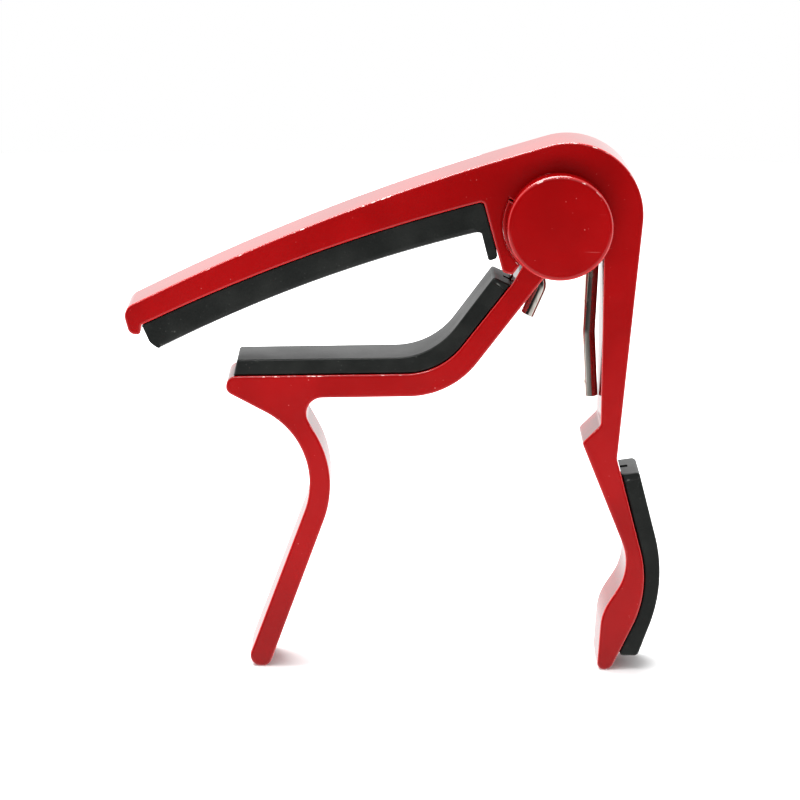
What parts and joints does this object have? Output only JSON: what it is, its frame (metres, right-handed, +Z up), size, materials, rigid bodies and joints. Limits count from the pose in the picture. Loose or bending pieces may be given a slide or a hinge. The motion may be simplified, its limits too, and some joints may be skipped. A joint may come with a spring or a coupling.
{
  "type": "guitar capo",
  "caption": "Spring-clamp capo that closes over a guitar neck and presses the strings; squeezing its two handles opens the jaw.",
  "frame": {"origin": "middle of the footprint, on the surface that the two handle ends stand on", "axes": "+X along the string bar towards the hub, +Y away from the viewer along the pivot axis, +Z up"},
  "size_m": [0.0902, 0.0204, 0.0899],
  "materials": {
    "red_paint": "glossy red enamel on die-cast aluminium",
    "black_rubber": "matt black moulded rubber",
    "spring_steel": "bright drawn spring wire",
    "nylon": "natural white nylon"
  },
  "bodies": {
    "frame": {"string_arm": "red_paint", "string_pad": "black_rubber", "palm_grip": "black_rubber", "front_hub_cap": "red_paint", "rear_hub_cap": "red_paint", "pivot_pin": "spring_steel", "spring_sleeve": "nylon", "front_thrust_washer": "nylon", "rear_thrust_washer": "nylon", "torsion_spring": "spring_steel"},
    "jaw": {"neck_arm": "red_paint", "neck_pad": "black_rubber"}
  },
  "joints": [
    {"name": "squeeze", "type": "hinge", "parent": "frame", "child": "jaw", "pos_m": [0.02678, 0, 0.0762], "axis": [0, -1, 0], "range_deg": [0, 30], "stiffness_Nm_per_rad": 1, "springref_deg": -8.59, "deforming": ["torsion_spring"]}
  ]
}
